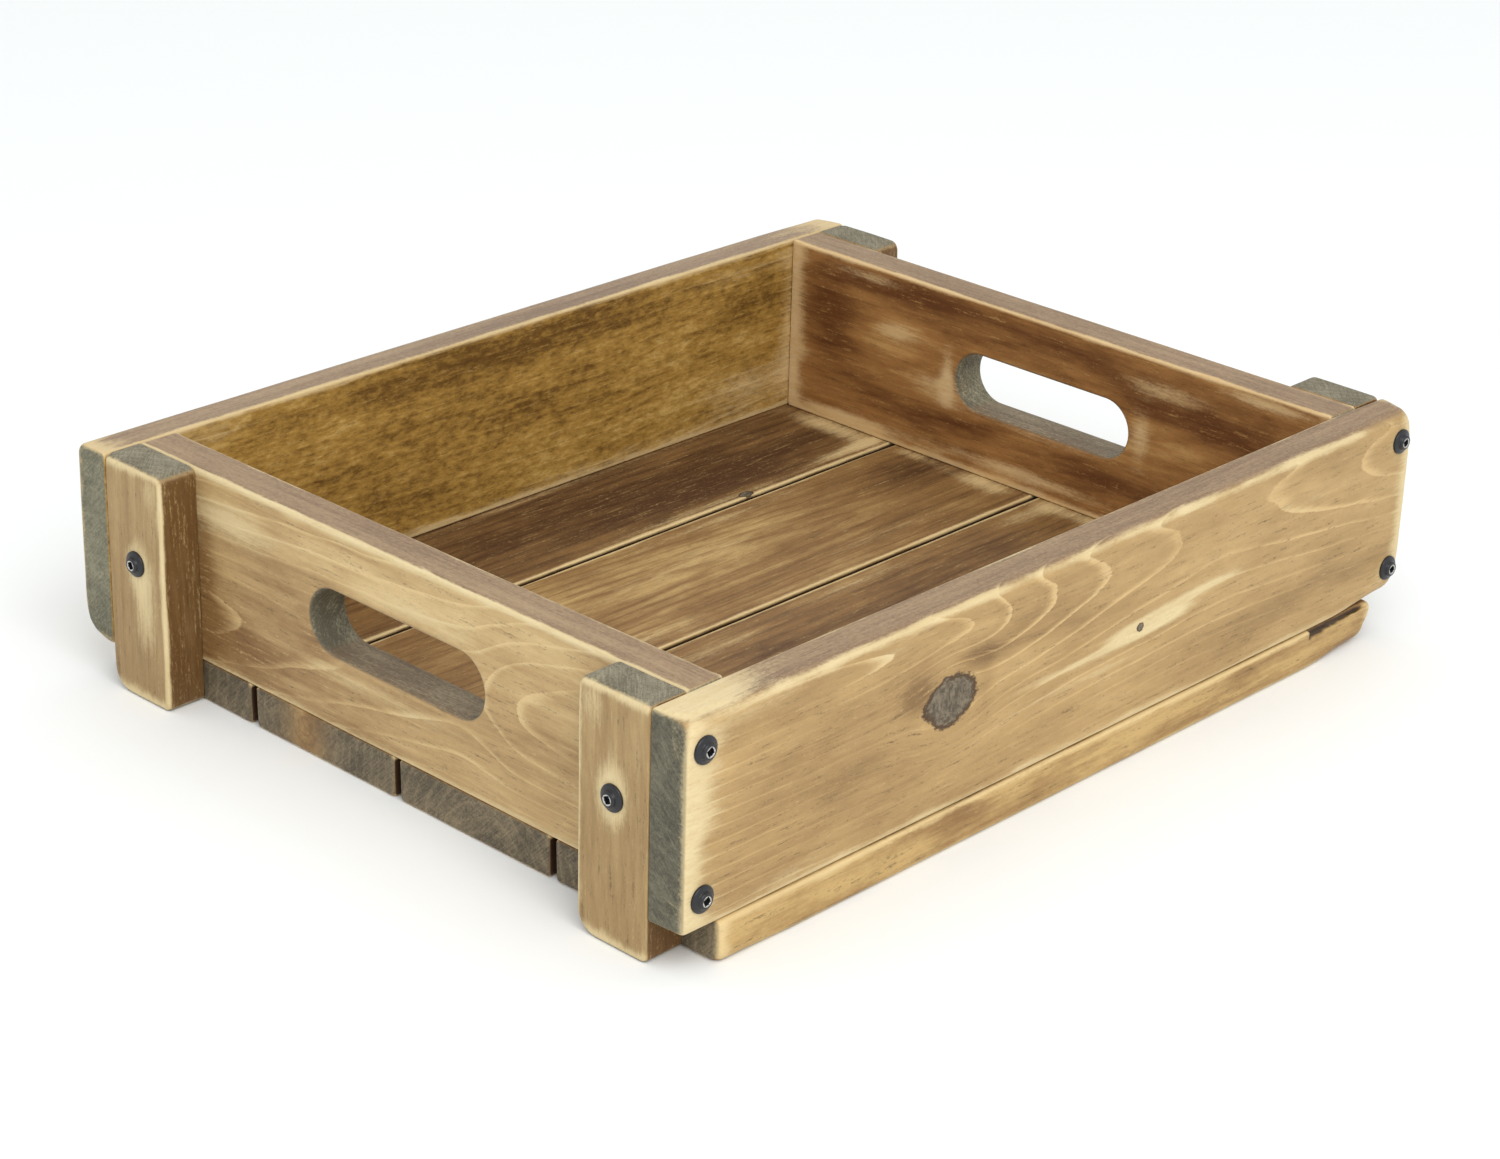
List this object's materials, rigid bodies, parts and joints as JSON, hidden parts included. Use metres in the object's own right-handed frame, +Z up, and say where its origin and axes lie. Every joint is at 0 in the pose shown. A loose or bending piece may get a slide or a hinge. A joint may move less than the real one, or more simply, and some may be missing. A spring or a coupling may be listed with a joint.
{
  "type": "apple crate",
  "caption": "Low open wooden crate of rectangular plan, with slatted floor, corner cleats and a hand hole in each end, for carrying fruit.",
  "frame": {"origin": "on the surface that the crate stands on, under the middle of the floor", "axes": "+X along the side boards towards the right end, +Y from the front side board to the back one, +Z up"},
  "size_m": [0.4656, 0.3702, 0.108],
  "materials": {
    "side_boards": "brown stain, edges sanded through to pale wood",
    "end_boards": "brown stain, edges sanded through to pale wood",
    "floor_boards": "dark brown stain, long edges sanded pale",
    "cleats": "brown stain, edges sanded through to pale wood",
    "black_screws": "black coating, worn bright round the socket",
    "steel_screws": "zinc plated"
  },
  "bodies": {
    "root": {"back_left_cleat": "cleats", "back_left_cleat_screw": "black_screws", "back_left_lower_screw": "black_screws", "back_left_upper_screw": "black_screws", "back_right_cleat": "cleats", "back_right_cleat_screw": "black_screws", "back_right_lower_screw": "black_screws", "back_right_upper_screw": "black_screws", "back_side_board": "side_boards", "floor_board_back": "floor_boards", "floor_board_front": "floor_boards", "floor_board_mid_back": "floor_boards", "floor_board_mid_front": "floor_boards", "floor_screws_back": "steel_screws", "floor_screws_front": "steel_screws", "floor_screws_mid_back": "steel_screws", "floor_screws_mid_front": "steel_screws", "front_left_cleat": "cleats", "front_left_cleat_screw": "black_screws", "front_left_lower_screw": "black_screws", "front_left_upper_screw": "black_screws", "front_right_cleat": "cleats", "front_right_cleat_screw": "black_screws", "front_right_lower_screw": "black_screws", "front_right_upper_screw": "black_screws", "front_side_board": "side_boards", "left_end_board": "end_boards", "right_end_board": "end_boards"}
  },
  "joints": []
}
